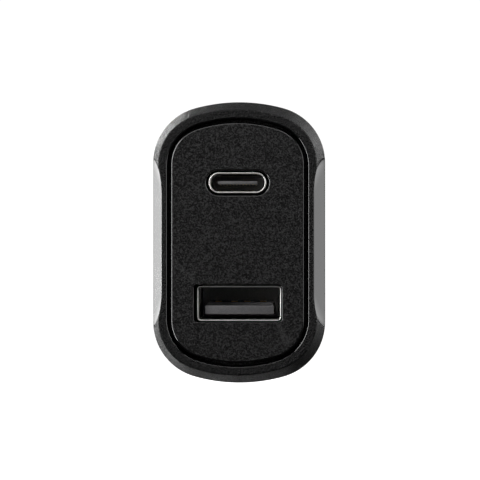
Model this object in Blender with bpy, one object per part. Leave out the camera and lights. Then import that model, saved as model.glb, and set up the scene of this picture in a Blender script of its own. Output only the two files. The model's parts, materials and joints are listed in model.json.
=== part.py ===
"""A two-port USB wall charger with a folding two-blade plug, as its separate pieces.

The origin is the centre of the back face, which lies against the outlet. +Y points into the
wall, the two ports face -Y, and +Z is up. Every size below is in millimetres; MM turns the
finished meshes into metres.
"""

import math

import bmesh
import bpy
from mathutils import Matrix, Vector

MM = 0.001

# Casing. An arch outline is (half width, half height, corner radius, crown radius).
DEPTH = 48.0
FRONT = -DEPTH
BODY_ARCH = (13.5, 22.0, 8.9, 26.0)
RIM_ARCH = (12.2, 20.45, 7.6, 21.8)
OPENING_ARCH = (10.87, 19.13, 6.7, 20.7)
PANEL_ARCH = (10.24, 18.42, 6.2, 20.2)
WALL = 2.0
COLLAR_DEPTH = 6.5
RIM_EDGE = 0.2
LEDGE_FRONT = 2.7
LEDGE_BACK = 3.9
LEDGE_WIDTH = 1.3
CORNER_STEPS = 7
CROWN_STEPS = 5

# Finger scoops in the two flanks.
SCOOP_FRONT_X = 11.71
SCOOP_DEPTH = 7.0
SCOOP_FLAT = 7.35
SCOOP_SPREAD = 0.6
SCOOP_END_RADIUS = 17.9

# Front panel.
PANEL_SINK = 0.05
PANEL_STEP = 1.1
PANEL_BACK = 2.5
FLANGE_GAP = 0.12

# USB-C receptacle: outside size of its steel shell, and the hole around it.
USB_C_Z = 9.2
USB_C_OUTER = (8.94, 3.22)
USB_C_HOLE = (9.68, 3.8)
USB_C_SINK = 0.15
USB_C_TONGUE = (6.3, 0.6)
USB_C_TONGUE_SINK = 0.9
USB_C_BASE_SINK = 6.4

# USB-A receptacle. It sits a quarter of a millimetre off the centre line in its hole.
USB_A_X = 0.25
USB_A_Z = -9.4
USB_A_OUTER = (13.0, 5.4)
USB_A_CORNER = 0.55
USB_A_HOLE_X = 0.05
USB_A_HOLE = (13.6, 5.8)
USB_A_SINK = 0.3
USB_A_TONGUE = (10.6, 1.75)
USB_A_TONGUE_Z = -10.2
USB_A_TONGUE_SINK = 1.3
USB_A_BASE_SINK = 10.2
CONTACT_PITCHES = (-3.5, -1.0, 1.0, 3.5)
CONTACT_WIDTH = 1.0
CONTACT_THICKNESS = 0.25

SHELL_THICKNESS = 0.3
SEAT_GAP = 0.1

# Circuit boards.
PORT_BOARD_FRONT = FRONT + 14.0
PORT_BOARD_THICKNESS = 1.2
PORT_BOARD_ARCH = (10.7, 18.9, 6.0, 20.0)
MAIN_BOARD_X = (-10.6, -9.4)
MAIN_BOARD_Y = (-32.4, -12.0)
MAIN_BOARD_Z = (-15.0, 15.0)
BOARD_FACE = MAIN_BOARD_X[1] + 0.3

# Rear cover.
COVER_THICKNESS = 2.3
PARTING_GAP = 0.15
SPIGOT_BACK = -4.5
SPIGOT_WIDTH = 1.0
WELL_BACK = -8.3

# Folding plug: two flat blades on one pivot.
BLADE_REACH = 17.0
BLADE_WIDTH = 6.35
BLADE_THICKNESS = 1.5
BLADE_X = 6.35
HOLE_REACH = 11.8
HOLE_RADIUS = 1.6
PIVOT_Y = -3.9
PIVOT_Z = 7.0
BARREL_RADIUS = 3.4
BARREL_HALF = 9.0
TRUNNION_RADIUS = 1.6
TRUNNION_END = 10.6
SHANK_WIDTH = 3.0
HEEL_REACH = 4.1
SHOULDER = 3.5
FOLDED_TIP_Z = PIVOT_Z - BLADE_REACH + PIVOT_Y
SLOT_HALF = 1.15
SLOT_DEPTH = 7.5
DETENT_FLAT = 3.1

RETAINER_Y = (-10.2, -9.0)
RETAINER_Z = (2.6, 15.4)
SCREW_X = 9.0
SCREW_Z = 13.2


def clear_scene():
    for obj in list(bpy.data.objects):
        bpy.data.objects.remove(obj)


def make_material(name, colour, roughness, metallic=0.0):
    material = bpy.data.materials.new(name)
    material.use_nodes = True
    shader = material.node_tree.nodes["Principled BSDF"]
    shader.inputs["Base Color"].default_value = (*colour, 1.0)
    shader.inputs["Roughness"].default_value = roughness
    shader.inputs["Metallic"].default_value = metallic
    return material


def arch_outline(arch, inset=0.0):
    """(x, z) points of an arch outline, anticlockwise: straight flanks, a corner arc and a wide crown arc."""
    half_width, half_height, corner, crown = (size - inset for size in arch)
    corner_x = half_width - corner
    crown_z = half_height - crown
    rise = math.sqrt((crown - corner) ** 2 - corner_x**2)
    corner_z = crown_z + rise
    turn = math.atan2(rise, corner_x)
    quarter = []
    for step in range(CORNER_STEPS):
        angle = turn * step / CORNER_STEPS
        quarter.append((corner_x + corner * math.cos(angle), corner_z + corner * math.sin(angle)))
    for step in range(CROWN_STEPS):
        angle = turn + (math.pi / 2 - turn) * step / CROWN_STEPS
        quarter.append((crown * math.cos(angle), crown_z + crown * math.sin(angle)))
    top = [(0.0, half_height)]
    right_up = quarter
    left_down = [(-x, z) for x, z in reversed(quarter)]
    left_up = [(-x, -z) for x, z in quarter]
    right_down = [(x, -z) for x, z in reversed(quarter)]
    return right_up + top + left_down + left_up + [(0.0, -half_height)] + right_down


def rounded_outline(width, height, radius, steps=4, centre=(0.0, 0.0)):
    """(x, z) points of a rectangle with round corners, anticlockwise."""
    points = []
    for corner, (side_x, side_z) in enumerate(((1, 1), (-1, 1), (-1, -1), (1, -1))):
        for step in range(steps + 1):
            angle = math.pi / 2 * (corner + step / steps)
            x = centre[0] + side_x * (width / 2 - radius) + radius * math.cos(angle)
            z = centre[1] + side_z * (height / 2 - radius) + radius * math.sin(angle)
            points.append((x, z))
    return points


def lofted(stations, closed=False):
    """A bmesh skinned through (outline, depth) stations, capped at both ends or closed into a tube wall."""
    bm = bmesh.new()
    rings = [[bm.verts.new((x, y, z)) for x, z in outline] for outline, y in stations]
    pairs = list(zip(rings, rings[1:]))
    if closed:
        pairs.append((rings[-1], rings[0]))
    for first, second in pairs:
        for a, b, c, d in zip(first, first[1:] + first[:1], second[1:] + second[:1], second):
            bm.faces.new((a, b, c, d))
    if not closed:
        bm.faces.new(rings[0])
        bm.faces.new(rings[-1])
    bmesh.ops.recalc_face_normals(bm, faces=bm.faces)
    return bm


def prism(outline, y_low, y_high):
    return lofted([(outline, y_low), (outline, y_high)])


def box(low, high, edge=0.0):
    """A box between two corners, with its edges chamfered by edge."""
    low, high = Vector(low), Vector(high)
    bm = bmesh.new()
    bmesh.ops.create_cube(bm, size=1.0)
    bmesh.ops.scale(bm, vec=high - low, verts=bm.verts)
    bmesh.ops.translate(bm, vec=(low + high) / 2, verts=bm.verts)
    if edge:
        bmesh.ops.bevel(
            bm,
            geom=bm.edges[:],
            offset=edge,
            segments=1,
            profile=0.5,
            affect="EDGES",
            material=-1,
        )
    return bm


def rod(radius, start, end, steps=20, edge=0.0):
    """A cylinder from start to end, with its two rims chamfered by edge."""
    start, end = Vector(start), Vector(end)
    along = end - start
    bm = bmesh.new()
    bmesh.ops.create_cone(
        bm,
        cap_ends=True,
        segments=steps,
        radius1=radius,
        radius2=radius,
        depth=along.length,
    )
    if edge:
        rims = [e for e in bm.edges if abs(e.verts[0].co.z - e.verts[1].co.z) < 1e-6]
        bmesh.ops.bevel(
            bm,
            geom=rims,
            offset=edge,
            segments=1,
            profile=0.5,
            affect="EDGES",
            material=-1,
        )
    turn = along.to_track_quat("Z", "Y").to_matrix().to_4x4()
    bmesh.ops.transform(bm, matrix=Matrix.Translation((start + end) / 2) @ turn, verts=bm.verts)
    return bm


def side_plate(profile, x_low, x_high):
    """A plate cut to a (y, z) profile, from x_low to x_high."""
    bm = bmesh.new()
    verts = [bm.verts.new((x_low, y, z)) for y, z in profile]
    face = bm.faces.new(verts)
    grown = bmesh.ops.extrude_face_region(bm, geom=[face])
    moved = [v for v in grown["geom"] if isinstance(v, bmesh.types.BMVert)]
    bmesh.ops.translate(bm, vec=(x_high - x_low, 0, 0), verts=moved)
    bmesh.ops.recalc_face_normals(bm, faces=bm.faces)
    return bm


def add(name, bm, material):
    """Puts a bmesh in the scene as one named object, in metres."""
    bmesh.ops.scale(bm, vec=(MM, MM, MM), verts=bm.verts)
    mesh = bpy.data.meshes.new(name)
    bm.to_mesh(mesh)
    bm.free()
    mesh.materials.append(material)
    mesh.shade_smooth()
    mesh.set_sharp_from_angle(angle=math.radians(35))
    obj = bpy.data.objects.new(name, mesh)
    bpy.context.scene.collection.objects.link(obj)
    return obj


def combine(obj, operation, *others):
    """Joins bmeshes to an object, or cuts them from it, and leaves the result as its mesh."""
    for bm in others:
        tool = add("tool", bm, obj.data.materials[0])
        modifier = obj.modifiers.new(operation.lower(), "BOOLEAN")
        modifier.operation = operation
        modifier.object = tool
        graph = bpy.context.evaluated_depsgraph_get()
        result = bpy.data.meshes.new_from_object(obj.evaluated_get(graph))
        obj.modifiers.clear()
        old, obj.data = obj.data, result
        bpy.data.meshes.remove(old)
        bpy.data.objects.remove(tool)
    return obj


def join(obj, *others):
    return combine(obj, "UNION", *others)


def cut(obj, *others):
    return combine(obj, "DIFFERENCE", *others)


def hang_on_pivot(obj, pivot):
    """Parents a piece to the pivot empty and gives it the pivot's place as its own origin."""
    obj.data.transform(Matrix.Translation(-pivot.location))
    obj.parent = pivot


# ------------------------------------------------------------------ casing


def scoop_cutter(side):
    """What the finger scoop takes off one flank: it runs out towards the back, and spreads as it goes."""
    end = BODY_ARCH[1]
    margin = 2.0
    slope = (BODY_ARCH[0] - SCOOP_FRONT_X) / SCOOP_DEPTH
    stations = []
    for depth in (-1.0, SCOOP_DEPTH + margin):
        flat = SCOOP_FLAT + SCOOP_SPREAD * depth
        face_x = SCOOP_FRONT_X + slope * depth
        outline = []
        for step in range(-8, 9):
            z = flat * step / 2 if abs(step) <= 2 else math.copysign(
                flat + (end - flat) * ((abs(step) - 2) / 6), step
            )
            beyond = max(0.0, abs(z) - flat)
            bulge = beyond**2 / (2 * SCOOP_END_RADIUS)
            outline.append((side * (face_x + bulge), z))
        outline += [(side * 22.0, end), (side * 22.0, -end)]
        stations.append((outline, FRONT + depth))
    return lofted(stations)


def housing_shell(plastic):
    inner = arch_outline(BODY_ARCH, WALL)
    ledge = arch_outline(OPENING_ARCH, LEDGE_WIDTH)
    opening = arch_outline(OPENING_ARCH)
    back = -COVER_THICKNESS - PARTING_GAP
    stations = [
        (arch_outline(RIM_ARCH, RIM_EDGE), FRONT),
        (arch_outline(RIM_ARCH), FRONT + RIM_EDGE),
        (arch_outline(BODY_ARCH), FRONT + COLLAR_DEPTH),
        (arch_outline(BODY_ARCH), back),
        (inner, back),
        (inner, FRONT + LEDGE_BACK),
        (ledge, FRONT + LEDGE_BACK),
        (ledge, FRONT + LEDGE_FRONT),
        (opening, FRONT + LEDGE_FRONT),
        (opening, FRONT + RIM_EDGE),
        (arch_outline(OPENING_ARCH, -RIM_EDGE), FRONT),
    ]
    shell = add("housing_shell", lofted(stations, closed=True), plastic)
    return cut(shell, scoop_cutter(1), scoop_cutter(-1))


def front_panel(plastic):
    flange = arch_outline(OPENING_ARCH, FLANGE_GAP)
    face = FRONT + PANEL_SINK
    stations = [
        (arch_outline(PANEL_ARCH, RIM_EDGE), face),
        (arch_outline(PANEL_ARCH), face + RIM_EDGE),
        (arch_outline(PANEL_ARCH), FRONT + PANEL_STEP),
        (flange, FRONT + PANEL_STEP),
        (flange, FRONT + PANEL_BACK),
    ]
    panel = add("front_panel", lofted(stations), plastic)
    c_width, c_height = USB_C_HOLE
    c_hole = rounded_outline(c_width, c_height, c_height / 2, 6, (0.0, USB_C_Z))
    a_hole = rounded_outline(*USB_A_HOLE, USB_A_CORNER, 3, (USB_A_HOLE_X, USB_A_Z))
    reach = (FRONT - 1.0, FRONT + PANEL_BACK + 1.0)
    return cut(panel, prism(c_hole, *reach), prism(a_hole, *reach))


# ------------------------------------------------------------------ receptacles


def steel_sleeve(name, size, radius, centre, front, steel):
    """A drawn steel shell: an open tube from its mouth back to the port board."""
    wall = SHELL_THICKNESS
    outer = rounded_outline(*size, radius, 5, centre)
    inner = rounded_outline(size[0] - 2 * wall, size[1] - 2 * wall, radius - wall, 5, centre)
    back = PORT_BOARD_FRONT - 0.3
    stations = [(outer, front), (outer, back), (inner, back), (inner, front)]
    return add(name, lofted(stations, closed=True), steel)


def insulator(name, sleeve, radius, centre, tongue, tongue_z, base_front, tongue_front, plastic):
    """The moulding inside a receptacle: a base that fills the shell, and the tongue that a plug goes over."""
    shrink = 2 * (SHELL_THICKNESS + SEAT_GAP)
    outline = rounded_outline(sleeve[0] - shrink, sleeve[1] - shrink, radius - shrink / 2, 4, centre)
    base = add(name, prism(outline, base_front, PORT_BOARD_FRONT - 0.3), plastic)
    half, thick = tongue[0] / 2, tongue[1] / 2
    low = (centre[0] - half, tongue_front, tongue_z - thick)
    high = (centre[0] + half, base_front + 0.5, tongue_z + thick)
    return join(base, box(low, high, 0.12))


def usb_c_receptacle(steel, plastic):
    centre = (0.0, USB_C_Z)
    radius = USB_C_OUTER[1] / 2 - 0.01
    steel_sleeve("usb_c_shell", USB_C_OUTER, radius, centre, FRONT + USB_C_SINK, steel)
    insulator(
        "usb_c_tongue",
        USB_C_OUTER,
        radius,
        centre,
        USB_C_TONGUE,
        USB_C_Z,
        FRONT + USB_C_BASE_SINK,
        FRONT + USB_C_TONGUE_SINK,
        plastic,
    )


def usb_a_receptacle(steel, plastic, gold):
    centre = (USB_A_X, USB_A_Z)
    steel_sleeve("usb_a_shell", USB_A_OUTER, USB_A_CORNER, centre, FRONT + USB_A_SINK, steel)
    insulator(
        "usb_a_tongue",
        USB_A_OUTER,
        USB_A_CORNER,
        centre,
        USB_A_TONGUE,
        USB_A_TONGUE_Z,
        FRONT + USB_A_BASE_SINK,
        FRONT + USB_A_TONGUE_SINK,
        plastic,
    )
    for number, pitch in enumerate(CONTACT_PITCHES, 1):
        usb_a_contact(f"usb_a_contact_{number}", USB_A_X + pitch, gold)


def usb_a_contact(name, x, gold):
    """A sprung contact strip on the upper face of the tongue, with a raised touch point."""
    seat = USB_A_TONGUE_Z + USB_A_TONGUE[1] / 2 + 0.05
    front = FRONT + USB_A_TONGUE_SINK + 1.0
    back = FRONT + USB_A_BASE_SINK - 0.2
    under = [(front, seat), (front + 1.6, seat + 0.55), (front + 3.2, seat), (back, seat)]
    over = [(y, z + CONTACT_THICKNESS) for y, z in reversed(under)]
    half = CONTACT_WIDTH / 2
    return add(name, side_plate(under + over, x - half, x + half), gold)


# ------------------------------------------------------------------ electronics


def port_board(laminate, chip_plastic):
    front = PORT_BOARD_FRONT
    back = front + PORT_BOARD_THICKNESS
    board = add("port_board", prism(arch_outline(PORT_BOARD_ARCH), front, back), laminate)
    face = back + 0.1
    add("charge_controller_chip", box((0.6, face, -2.2), (5.0, face + 0.9, 2.2), 0.1), chip_plastic)
    return board


def main_board(laminate, card):
    board_low = (MAIN_BOARD_X[0], MAIN_BOARD_Y[0], MAIN_BOARD_Z[0])
    board_high = (MAIN_BOARD_X[1], MAIN_BOARD_Y[1], MAIN_BOARD_Z[1])
    add("main_board", box(board_low, board_high), laminate)
    sheet_low = (-11.25, MAIN_BOARD_Y[0], -12.0)
    sheet_high = (-10.9, MAIN_BOARD_Y[1], 12.0)
    add("insulating_sheet", box(sheet_low, sheet_high), card)


def transformer_core(name, y_back, y_joint, ferrite):
    """One E-shaped ferrite half: a back plate, two outer legs and a centre leg that meet the other half."""
    facing = 1.0 if y_joint > y_back else -1.0
    plate_y = sorted((y_back, y_back + 2.4 * facing))
    leg_y = sorted((y_back + 2.0 * facing, y_joint))
    core = add(name, box((-7.3, plate_y[0], -11.2), (7.3, plate_y[1], 0.2), 0.25), ferrite)
    legs = (
        box((-7.3, leg_y[0], -11.2), (-5.2, leg_y[1], 0.2)),
        box((5.2, leg_y[0], -11.2), (7.3, leg_y[1], 0.2)),
        box((-2.4, leg_y[0], -9.7), (2.4, leg_y[1], -1.3)),
    )
    return join(core, *legs)


def transformer(ferrite, bobbin_plastic, tape):
    joint = -22.2
    transformer_core("transformer_core_front", joint - 8.2, joint - 0.15, ferrite)
    transformer_core("transformer_core_rear", joint + 8.2, joint + 0.15, ferrite)
    centre = (0.0, -5.5)
    bore = rounded_outline(5.2, 8.8, 0.3, 2, centre)
    barrel = rounded_outline(6.4, 10.0, 0.6, 2, centre)
    flange = rounded_outline(9.9, 13.4, 0.8, 2, centre)
    ends = (joint - 5.5, joint + 5.5)
    stations = [
        (bore, ends[0]),
        (flange, ends[0]),
        (flange, ends[0] + 0.7),
        (barrel, ends[0] + 0.7),
        (barrel, ends[1] - 0.7),
        (flange, ends[1] - 0.7),
        (flange, ends[1]),
        (bore, ends[1]),
    ]
    add("transformer_bobbin", lofted(stations, closed=True), bobbin_plastic)
    inside = rounded_outline(6.7, 10.3, 0.7, 3, centre)
    outside = rounded_outline(9.6, 13.0, 1.8, 3, centre)
    wound = (ends[0] + 0.9, ends[1] - 0.9)
    stations = [(inside, wound[0]), (outside, wound[0]), (outside, wound[1]), (inside, wound[1])]
    add("transformer_winding", lofted(stations, closed=True), tape)


def standing_capacitor(name, radius, height, y, z, sleeve):
    """A can that stands on the main board, with a rounded rim."""
    return add(name, rod(radius, (BOARD_FACE, y, z), (BOARD_FACE + height, y, z), 20, 0.35), sleeve)


def power_parts(materials):
    standing_capacitor("bulk_capacitor_front", 4.4, 16.5, -27.4, 6.0, materials["sleeve"])
    standing_capacitor("bulk_capacitor_rear", 4.4, 16.5, -17.8, 6.0, materials["sleeve"])
    standing_capacitor("output_capacitor_front", 2.5, 9.0, -28.6, -14.95, materials["can"])
    standing_capacitor("output_capacitor_rear", 2.5, 9.0, -22.8, -14.95, materials["can"])
    chip = materials["chip"]
    face = BOARD_FACE
    add("bridge_rectifier", box((face, -30.6, 11.0), (face + 2.4, -24.0, 14.6), 0.15), chip)
    add("switching_chip", box((face, -18.6, -14.6), (face + 1.4, -13.4, -11.9), 0.1), chip)
    add("interference_capacitor", box((face, -22.6, 10.8), (face + 8.0, -18.0, 17.0), 0.3), materials["film"])
    fuse = rod(1.7, (face + 4.4, -30.0, 14.9), (face + 4.4, -23.6, 14.9), 14, 0.3)
    add("fuse", fuse, materials["ceramic"])
    disc = rod(3.0, (1.2, -14.9, -14.9), (3.6, -14.9, -14.9), 20, 0.6)
    add("safety_capacitor", disc, materials["disc"])
    choke = rod(3.3, (-0.2, -15.6, 14.2), (3.4, -15.6, 14.2), 20, 0.6)
    hole = rod(1.4, (-2.0, -15.6, 14.2), (6.0, -15.6, 14.2), 16)
    cut(add("filter_choke", choke, materials["copper"]), hole)


def heat_path(aluminium, silicone):
    add("thermal_pad", box((7.6, -28.5, -9.5), (8.6, -15.9, -1.5)), silicone)
    add("heat_spreader", box((8.9, -31.5, -12.5), (9.7, -13.0, 12.5)), aluminium)


# ------------------------------------------------------------------ rear cover and folding plug


def slot_prism(side, low, high, y_low, y_high, half=SLOT_HALF):
    """A box in line with one blade, between two heights and two depths."""
    x = side * BLADE_X
    return box((x - half, y_low, low), (x + half, y_high, high))


def rear_cover(plastic):
    edge = 0.8
    outline = arch_outline(BODY_ARCH)
    stations = [
        (outline, -COVER_THICKNESS),
        (outline, -edge),
        (arch_outline(BODY_ARCH, edge * 0.3), -edge * 0.3),
        (arch_outline(BODY_ARCH, edge), 0.0),
    ]
    cover = add("rear_cover", lofted(stations), plastic)
    overlap = 0.3
    ring_gap = 0.15
    spigot = [
        (arch_outline(BODY_ARCH, WALL + ring_gap), SPIGOT_BACK),
        (arch_outline(BODY_ARCH, WALL + ring_gap), overlap - COVER_THICKNESS),
        (arch_outline(BODY_ARCH, WALL + ring_gap + SPIGOT_WIDTH), overlap - COVER_THICKNESS),
        (arch_outline(BODY_ARCH, WALL + ring_gap + SPIGOT_WIDTH), SPIGOT_BACK),
    ]
    top = overlap - COVER_THICKNESS
    blocks = [
        box((-9.9, WELL_BACK, PIVOT_Z - 5.0), (9.9, top, PIVOT_Z + 5.6)),
        box((-10.8, WELL_BACK, PIVOT_Z - 2.8), (10.8, top, PIVOT_Z + 2.8)),
        box((-8.3, WELL_BACK, FOLDED_TIP_Z - 1.6), (8.3, top, PIVOT_Z - 4.0)),
        box((-6.6, -5.4, -17.3), (6.6, top, FOLDED_TIP_Z)),
    ]
    bosses = [rod(1.6, (s * SCREW_X, WELL_BACK, SCREW_Z), (s * SCREW_X, top, SCREW_Z), 16) for s in (-1, 1)]
    join(cover, lofted(spigot, closed=True), *blocks, *bosses)
    out = 1.0
    past = WELL_BACK - 1.0
    window = box((-BARREL_HALF - 0.2, past, PIVOT_Z - 3.9), (BARREL_HALF + 0.2, out, PIVOT_Z + 3.9))
    finger_recess = box((-5.6, -4.6, -16.4), (5.6, out, -8.4))
    cut(cover, window, finger_recess)
    for side in (-1, 1):
        blade_slot = slot_prism(side, FOLDED_TIP_Z - 0.6, PIVOT_Z, -SLOT_DEPTH, out)
        heel_relief = slot_prism(side, PIVOT_Z, PIVOT_Z + 5.0, past, -1.8, half=1.4)
        saddle = rod(1.75, (side * 8.8, PIVOT_Y, PIVOT_Z), (side * 11.9, PIVOT_Y, PIVOT_Z), 16)
        saddle_low = (min(side * 8.8, side * 11.9), past, PIVOT_Z - 1.75)
        saddle_high = (max(side * 8.8, side * 11.9), PIVOT_Y, PIVOT_Z + 1.75)
        pilot = rod(0.8, (side * SCREW_X, past, SCREW_Z), (side * SCREW_X, -3.5, SCREW_Z), 12)
        cut(cover, blade_slot, heel_relief, saddle, box(saddle_low, saddle_high), pilot)
    return cover


def blade(name, side, brass):
    """One flat blade: a narrow shank through the barrel, wide shoulders, and a tapered tip."""
    half = BLADE_WIDTH / 2
    shank = SHANK_WIDTH / 2
    tip = BLADE_REACH - PIVOT_Y
    corner = 1.3
    upper = [(-HEEL_REACH, shank), (SHOULDER, shank), (SHOULDER, half), (tip - corner, half), (tip, half - corner)]
    profile = [(y, z) for y, z in upper] + [(y, -z) for y, z in reversed(upper)]
    profile = [(PIVOT_Y + y, PIVOT_Z + z) for y, z in profile]
    x = side * BLADE_X
    bm = side_plate(profile, x - BLADE_THICKNESS / 2, x + BLADE_THICKNESS / 2)
    nose = [
        e for e in bm.edges
        if min(v.co.y for v in e.verts) > PIVOT_Y + tip - corner - 0.01
        and abs(e.verts[0].co.x - e.verts[1].co.x) < 1e-6
    ]
    bmesh.ops.bevel(
        bm,
        geom=nose,
        offset=0.35,
        segments=1,
        profile=0.5,
        affect="EDGES",
        material=-1,
    )
    metal = add(name, bm, brass)
    place = (HOLE_REACH, PIVOT_Z)
    return cut(metal, rod(HOLE_RADIUS, (x - BLADE_THICKNESS, *place), (x + BLADE_THICKNESS, *place), 20))


def blade_carrier(plastic):
    """The moulded barrel that holds both blades and turns on its two trunnions."""
    ends = ((-BARREL_HALF, PIVOT_Y, PIVOT_Z), (BARREL_HALF, PIVOT_Y, PIVOT_Z))
    carrier = add("blade_carrier", rod(BARREL_RADIUS, *ends, 28, 0.25), plastic)
    trunnion_ends = ((-TRUNNION_END, PIVOT_Y, PIVOT_Z), (TRUNNION_END, PIVOT_Y, PIVOT_Z))
    join(carrier, rod(TRUNNION_RADIUS, *trunnion_ends, 16, 0.2))
    gap = 0.1
    for side in (-1, 1):
        x = side * BLADE_X
        half_x = BLADE_THICKNESS / 2 + gap
        half_z = SHANK_WIDTH / 2 + gap
        reach = BARREL_RADIUS + 1.0
        low = (x - half_x, PIVOT_Y - reach, PIVOT_Z - half_z)
        high = (x + half_x, PIVOT_Y + reach, PIVOT_Z + half_z)
        cut(carrier, box(low, high))
    far = BARREL_RADIUS + 1.0
    under = box((-2.8, PIVOT_Y - far, PIVOT_Z - far), (2.8, PIVOT_Y - DETENT_FLAT, PIVOT_Z + far))
    above = box((-2.8, PIVOT_Y - far, PIVOT_Z + DETENT_FLAT), (2.8, PIVOT_Y + far, PIVOT_Z + far))
    return cut(carrier, under, above)


def blade_retainer(plastic, steel):
    """The bracket that closes the saddles from inside, and its two screws."""
    low = (-10.4, RETAINER_Y[0], RETAINER_Z[0])
    high = (10.4, RETAINER_Y[1], RETAINER_Z[1])
    retainer = add("blade_retainer", box(low, high, 0.3), plastic)
    for side in (-1, 1):
        reach = PIVOT_Y - TRUNNION_RADIUS - 0.2
        near, far = sorted((side * 9.35, side * 10.3))
        foot = box((near, RETAINER_Y[1] - 0.5, PIVOT_Z - 1.3), (far, reach, PIVOT_Z + 1.3))
        join(retainer, foot)
        x = side * SCREW_X
        cut(retainer, rod(0.95, (x, RETAINER_Y[0] - 1, SCREW_Z), (x, RETAINER_Y[1] + 1, SCREW_Z), 12))
        name = "retainer_screw_right" if side > 0 else "retainer_screw_left"
        head = rod(1.4, (x, -11.2, SCREW_Z), (x, RETAINER_Y[0] - 0.1, SCREW_Z), 16, 0.2)
        shank = rod(0.65, (x, RETAINER_Y[0] - 0.4, SCREW_Z), (x, -4.6, SCREW_Z), 12, 0.15)
        join(add(name, head, steel), shank)


def contact_springs(bronze):
    """A bronze strip behind each blade's heel, and the bowed leaf that holds the barrel at its two stops."""
    for side in (-1, 1):
        name = "contact_spring_right" if side > 0 else "contact_spring_left"
        x = side * BLADE_X
        strip = box((x - 1.1, -8.8, PIVOT_Z - 2.6), (x + 1.1, -8.5, 17.0))
        add(name, strip, bronze)
    steps = 8
    half_chord = 3.5
    sag = 1.1
    crown = PIVOT_Y - BARREL_RADIUS - 0.15
    over = []
    for step in range(steps + 1):
        share = 2 * step / steps - 1
        over.append((crown - sag * share**2, PIVOT_Z + half_chord * share))
    under = [(y - 0.25, z) for y, z in reversed(over)]
    add("detent_spring", side_plate(over + under, -2.4, 2.4), bronze)


def lead_wire(name, points, insulation):
    """A short insulated lead, on a smooth curve through its points."""
    curve = bpy.data.curves.new(name, "CURVE")
    curve.dimensions = "3D"
    curve.bevel_depth = 0.6 * MM
    curve.bevel_resolution = 2
    curve.use_fill_caps = True
    spline = curve.splines.new("POLY")
    smooth = smooth_through([Vector(p) for p in points], 5)
    spline.points.add(len(smooth) - 1)
    for target, point in zip(spline.points, smooth):
        target.co = (*(point * MM), 1.0)
    curve.materials.append(insulation)
    obj = bpy.data.objects.new(name, curve)
    bpy.context.scene.collection.objects.link(obj)
    return obj


def smooth_through(points, steps):
    """Catmull-Rom points through the given ones."""
    ends = [2 * points[0] - points[1]] + points + [2 * points[-1] - points[-2]]
    made = []
    for a, b, c, d in zip(ends, ends[1:], ends[2:], ends[3:]):
        for step in range(steps):
            t = step / steps
            made.append(
                0.5 * (2 * b + (c - a) * t + (2 * a - 5 * b + 4 * c - d) * t**2 + (3 * b - a - 3 * c + d) * t**3)
            )
    return made + [points[-1]]


def folding_plug(brass, plastic):
    pivot = bpy.data.objects.new("blade_pivot", None)
    pivot.location = (0.0, PIVOT_Y * MM, PIVOT_Z * MM)
    bpy.context.scene.collection.objects.link(pivot)
    for piece in (blade("blade_left", -1, brass), blade("blade_right", 1, brass), blade_carrier(plastic)):
        hang_on_pivot(piece, pivot)


def main():
    clear_scene()
    casing = make_material("casing_plastic", (0.018, 0.018, 0.019), 0.55)
    trim = make_material("panel_plastic", (0.018, 0.018, 0.019), 0.5)
    black = make_material("port_plastic", (0.03, 0.029, 0.031), 0.5)
    steel = make_material("port_steel", (0.62, 0.61, 0.58), 0.25, 1.0)
    gold = make_material("contact_gold", (0.83, 0.62, 0.28), 0.25, 1.0)
    nickel = make_material("blade_nickel", (0.72, 0.71, 0.68), 0.2, 1.0)
    laminate = make_material("board_laminate", (0.03, 0.16, 0.07), 0.45)
    chip = make_material("chip_plastic", (0.02, 0.02, 0.022), 0.45)
    card = make_material("insulating_card", (0.55, 0.5, 0.36), 0.6)
    ferrite = make_material("ferrite", (0.06, 0.06, 0.065), 0.6)
    bobbin = make_material("bobbin_plastic", (0.025, 0.025, 0.025), 0.5)
    tape = make_material("winding_tape", (0.75, 0.55, 0.06), 0.4)
    bronze = make_material("spring_bronze", (0.72, 0.5, 0.3), 0.3, 1.0)
    aluminium = make_material("spreader_aluminium", (0.75, 0.76, 0.77), 0.35, 1.0)
    silicone = make_material("pad_silicone", (0.35, 0.45, 0.6), 0.7)
    power = {
        "sleeve": make_material("capacitor_sleeve", (0.03, 0.05, 0.14), 0.35),
        "can": make_material("capacitor_can", (0.75, 0.75, 0.76), 0.3, 1.0),
        "film": make_material("film_capacitor", (0.7, 0.5, 0.05), 0.4),
        "ceramic": make_material("fuse_body", (0.14, 0.07, 0.03), 0.5),
        "disc": make_material("disc_coating", (0.04, 0.16, 0.5), 0.4),
        "copper": make_material("choke_copper", (0.55, 0.2, 0.08), 0.35, 1.0),
        "chip": chip,
    }
    housing_shell(casing)
    front_panel(trim)
    usb_c_receptacle(steel, black)
    usb_a_receptacle(steel, black, gold)
    port_board(laminate, chip)
    main_board(laminate, card)
    transformer(ferrite, bobbin, tape)
    power_parts(power)
    heat_path(aluminium, silicone)
    rear_cover(casing)
    folding_plug(nickel, casing)
    blade_retainer(bobbin, nickel)
    contact_springs(bronze)
    red = make_material("live_insulation", (0.5, 0.03, 0.02), 0.5)
    black_lead = make_material("neutral_insulation", (0.02, 0.02, 0.02), 0.5)
    lead_wire(
        "live_lead",
        [(6.35, -9.7, 16.2), (6.35, -10.8, 16.0), (4.5, -11.8, 16.6), (0.0, -11.9, 17.6), (-5.5, -12.6, 16.2),
         (-7.6, -13.8, 14.2), (-8.9, -14.0, 13.6)],
        red,
    )
    lead_wire(
        "neutral_lead",
        [(-6.35, -9.7, 16.2), (-6.35, -10.8, 15.6), (-6.6, -12.0, 12.0), (-7.6, -12.9, 9.6), (-8.9, -13.2, 9.0)],
        black_lead,
    )


main()
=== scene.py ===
import json
import math

import bmesh
import bpy
from mathutils import Matrix, Vector


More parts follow.
